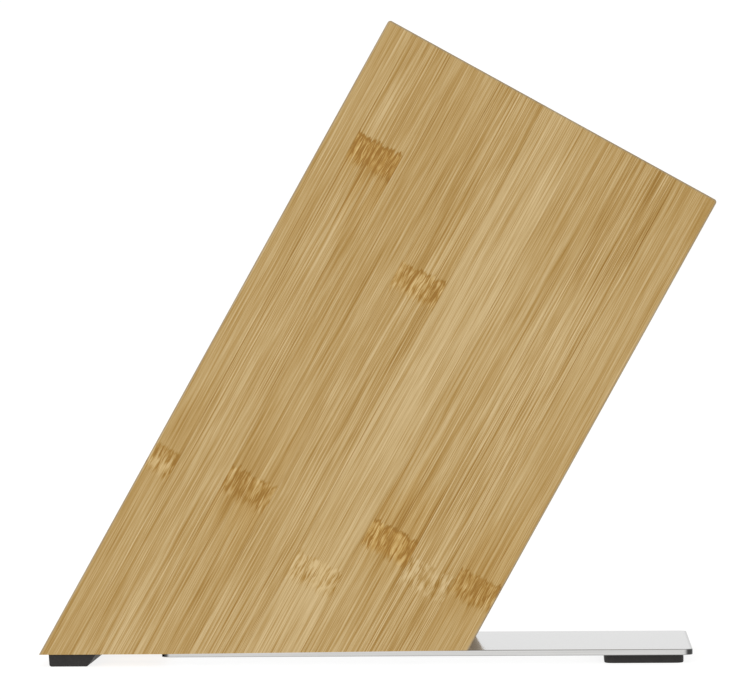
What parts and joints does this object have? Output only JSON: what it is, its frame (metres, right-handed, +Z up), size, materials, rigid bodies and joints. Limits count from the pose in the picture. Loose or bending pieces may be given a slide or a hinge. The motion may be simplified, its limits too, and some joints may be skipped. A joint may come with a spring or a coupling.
{
  "type": "knife block",
  "caption": "Empty slanted bamboo knife block with blade slots in its square-cut top face, on a thin brushed steel base plate with rubber feet.",
  "frame": {"origin": "middle of the overall box, on the floor plane that the feet stand on", "axes": "+Z up; +X the way the block leans and the plate extends, which is the user's side; +Y to the block's own left as it faces +X"},
  "size_m": [0.2522, 0.095, 0.2384],
  "materials": {
    "bamboo": "oiled flat-pressed bamboo, satin",
    "beech": "plain turned dowel",
    "brushed_plate": "brushed along its length",
    "zinc_screw": "zinc plated",
    "foot_rubber": "matt charcoal",
    "mounting_tape": "acrylic foam tape"
  },
  "bodies": {
    "root": {"right_side_board": "bamboo", "right_inner_board": "bamboo", "left_inner_board": "bamboo", "left_side_board": "bamboo", "right_rear_strip": "bamboo", "right_middle_strip": "bamboo", "right_front_strip": "bamboo", "centre_rear_strip": "bamboo", "centre_middle_strip": "bamboo", "centre_front_strip": "bamboo", "left_rear_strip": "bamboo", "left_middle_strip": "bamboo", "left_front_strip": "bamboo", "alignment_dowels": "beech", "base_plate": "brushed_plate", "base_plate_screws": "zinc_screw", "rear_foot": "foot_rubber", "rear_foot_screws": "zinc_screw", "front_foot": "foot_rubber", "front_foot_tape": "mounting_tape"}
  },
  "joints": []
}
